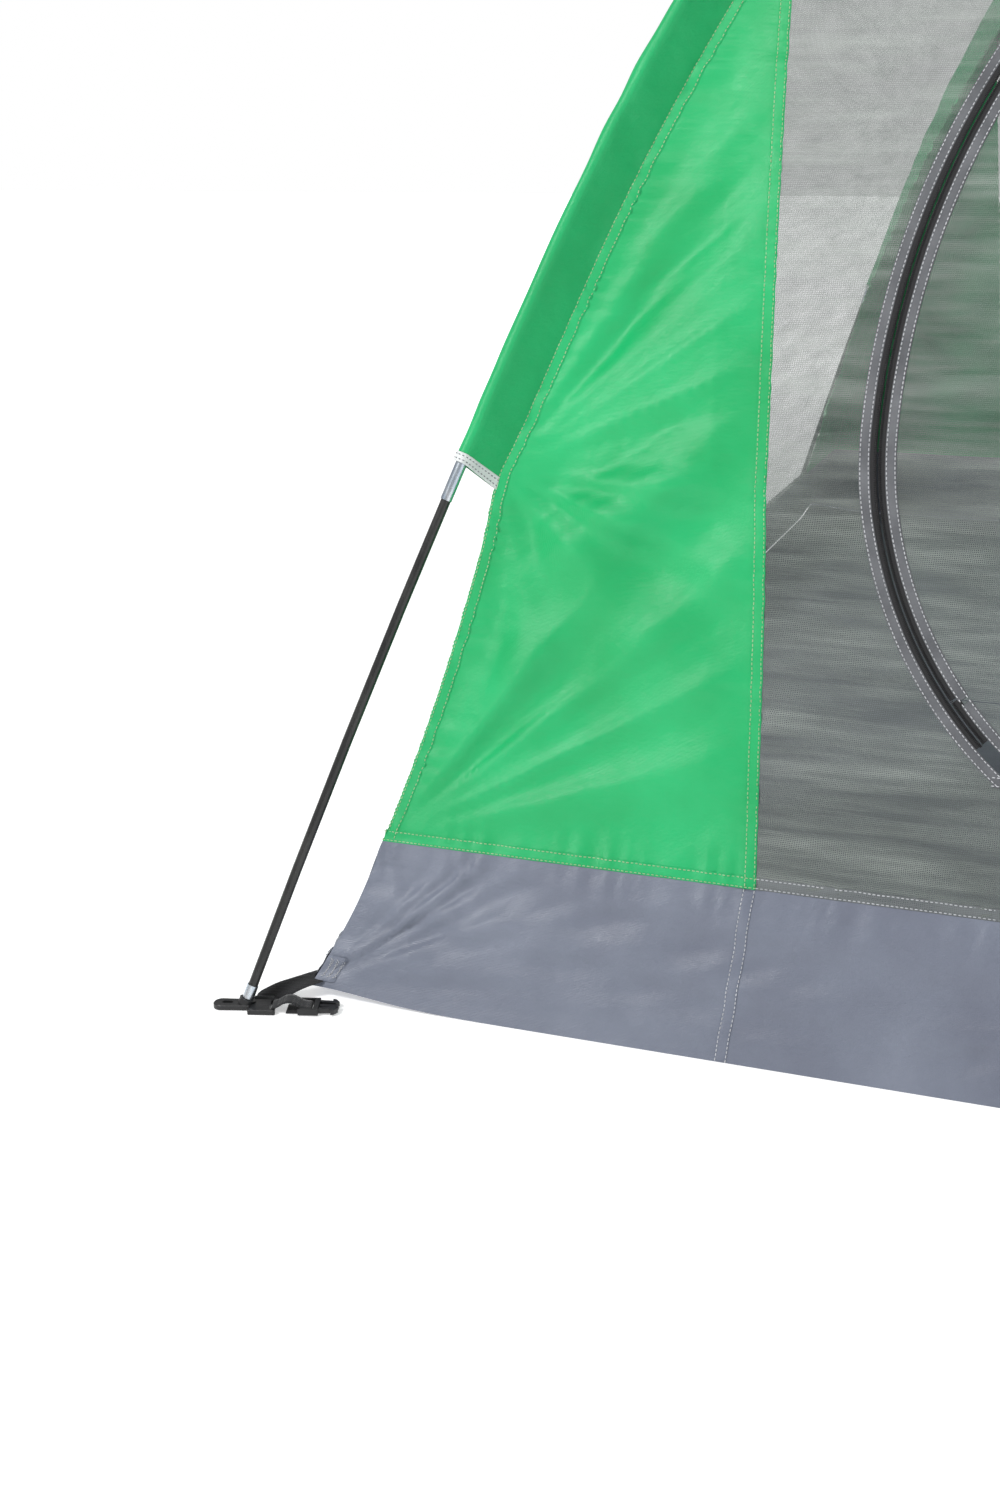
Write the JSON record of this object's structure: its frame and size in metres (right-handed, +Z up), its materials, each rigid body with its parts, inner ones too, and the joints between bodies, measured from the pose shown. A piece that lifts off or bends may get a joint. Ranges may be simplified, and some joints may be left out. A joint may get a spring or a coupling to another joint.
{
  "type": "dome tent inner body",
  "caption": "Freestanding dome tent inner body on two crossing poles, with solid corner panels, mesh walls, a tub floor and an arched zip door that folds down outwards.",
  "frame": {"origin": "centre of the floor, on the ground", "axes": "+X along the front wall, to the right as seen from outside it; +Y from the door wall to the rear wall; +Z up"},
  "size_m": [3.2064, 2.8622, 1.8321],
  "materials": {
    "binding_tape": "woven binding tape",
    "black_plastic": "moulded acetal",
    "black_webbing": "woven polypropylene webbing",
    "green_fabric": "coated polyester, flat-felled seams",
    "grey_mesh": "fine no-see-um mesh",
    "pole_rod": "black pultruded fibreglass",
    "pole_steel": "plated steel",
    "shock_cord": "elastic cord",
    "sleeve_binding": "pale woven binding",
    "slider_metal": "black enamelled zinc",
    "tub_fabric": "coated oxford polyester",
    "zipper_coil": "black nylon coil",
    "zipper_tape": "black zipper tape"
  },
  "bodies": {
    "tent_body": {"crossing_tie": "black_webbing", "door_binding_frame_side": "binding_tape", "door_sill_mesh": "grey_mesh", "floor_sheet": "tub_fabric", "front_left_corner_plate": "black_plastic", "front_left_corner_strap": "black_webbing", "front_left_sleeve": "green_fabric", "front_right_corner_plate": "black_plastic", "front_right_corner_strap": "black_webbing", "front_right_sleeve": "green_fabric", "front_wall_left_panel": "green_fabric", "front_wall_mesh": "grey_mesh", "front_wall_right_panel": "green_fabric", "left_wall_front_panel": "green_fabric", "left_wall_mesh": "grey_mesh", "left_wall_rear_panel": "green_fabric", "pole_a_end_tips": "pole_steel", "pole_a_ferrules": "pole_steel", "pole_a_sections": "pole_rod", "pole_a_shock_cord": "shock_cord", "pole_b_end_tips": "pole_steel", "pole_b_ferrules": "pole_steel", "pole_b_sections": "pole_rod", "pole_b_shock_cord": "shock_cord", "rear_left_corner_plate": "black_plastic", "rear_left_corner_strap": "black_webbing", "rear_left_sleeve": "green_fabric", "rear_right_corner_plate": "black_plastic", "rear_right_corner_strap": "black_webbing", "rear_right_sleeve": "green_fabric", "rear_wall_left_panel": "green_fabric", "rear_wall_lower_panel": "green_fabric", "rear_wall_mesh": "grey_mesh", "rear_wall_right_panel": "green_fabric", "right_wall_front_panel": "green_fabric", "right_wall_mesh": "grey_mesh", "right_wall_rear_panel": "green_fabric", "sleeve_bindings": "sleeve_binding", "tub_front_wall": "tub_fabric", "tub_left_wall": "tub_fabric", "tub_rear_wall": "tub_fabric", "tub_right_wall": "tub_fabric", "zipper_coil_frame_side": "zipper_coil", "zipper_tape_frame_side": "zipper_tape"},
    "door_flap": {"door_flap_mesh": "grey_mesh", "zipper_tape_flap_side": "zipper_tape", "zipper_coil_flap_side": "zipper_coil", "door_binding_flap_side": "binding_tape"},
    "zipper_slider": {"zipper_slider": "slider_metal"},
    "zipper_pull_outside": {"zipper_pull_outside": "slider_metal"},
    "zipper_pull_inside": {"zipper_pull_inside": "slider_metal"},
    "front_left_buckle": {"front_left_buckle_strap": "black_webbing", "front_left_buckle_plug": "black_plastic"},
    "front_right_buckle": {"front_right_buckle_strap": "black_webbing", "front_right_buckle_plug": "black_plastic"},
    "rear_left_buckle": {"rear_left_buckle_strap": "black_webbing", "rear_left_buckle_plug": "black_plastic"},
    "rear_right_buckle": {"rear_right_buckle_strap": "black_webbing", "rear_right_buckle_plug": "black_plastic"}
  },
  "joints": [
    {"name": "door_fold", "type": "hinge", "parent": "tent_body", "child": "door_flap", "pos_m": [-0.327, -1.27654, 0.33644], "axis": [1, 0, 0], "range_deg": [0, 115]},
    {"name": "zipper_travel", "type": "hinge", "parent": "tent_body", "child": "zipper_slider", "pos_m": [-0.007, -1.21983, 0.565], "axis": [0, -0.9722, 0.2342], "range_deg": [0, 25]},
    {"name": "pull_outside_flip", "type": "hinge", "parent": "zipper_slider", "child": "zipper_pull_outside", "pos_m": [0.27511, -1.28388, 0.31856], "axis": [-0.7424, 0.1569, 0.6513], "range_deg": [0, 170]},
    {"name": "pull_inside_flip", "type": "hinge", "parent": "zipper_slider", "child": "zipper_pull_inside", "pos_m": [0.27511, -1.27474, 0.31636], "axis": [0.7424, -0.1569, -0.6513], "range_deg": [0, 170]},
    {"name": "front_left_buckle_lift", "type": "hinge", "parent": "tent_body", "child": "front_left_buckle", "pos_m": [-1.54352, -1.41135, 0.0033], "axis": [0.2924, -0.9563, 0], "range_deg": [0, 60]},
    {"name": "front_right_buckle_lift", "type": "hinge", "parent": "tent_body", "child": "front_right_buckle", "pos_m": [1.54352, -1.41135, 0.0033], "axis": [0.2924, 0.9563, 0], "range_deg": [0, 60]},
    {"name": "rear_left_buckle_lift", "type": "hinge", "parent": "tent_body", "child": "rear_left_buckle", "pos_m": [-1.54352, 1.41135, 0.0033], "axis": [-0.2924, -0.9563, 0], "range_deg": [0, 60]},
    {"name": "rear_right_buckle_lift", "type": "hinge", "parent": "tent_body", "child": "rear_right_buckle", "pos_m": [1.54352, 1.41135, 0.0033], "axis": [-0.2924, 0.9563, 0], "range_deg": [0, 60]}
  ]
}
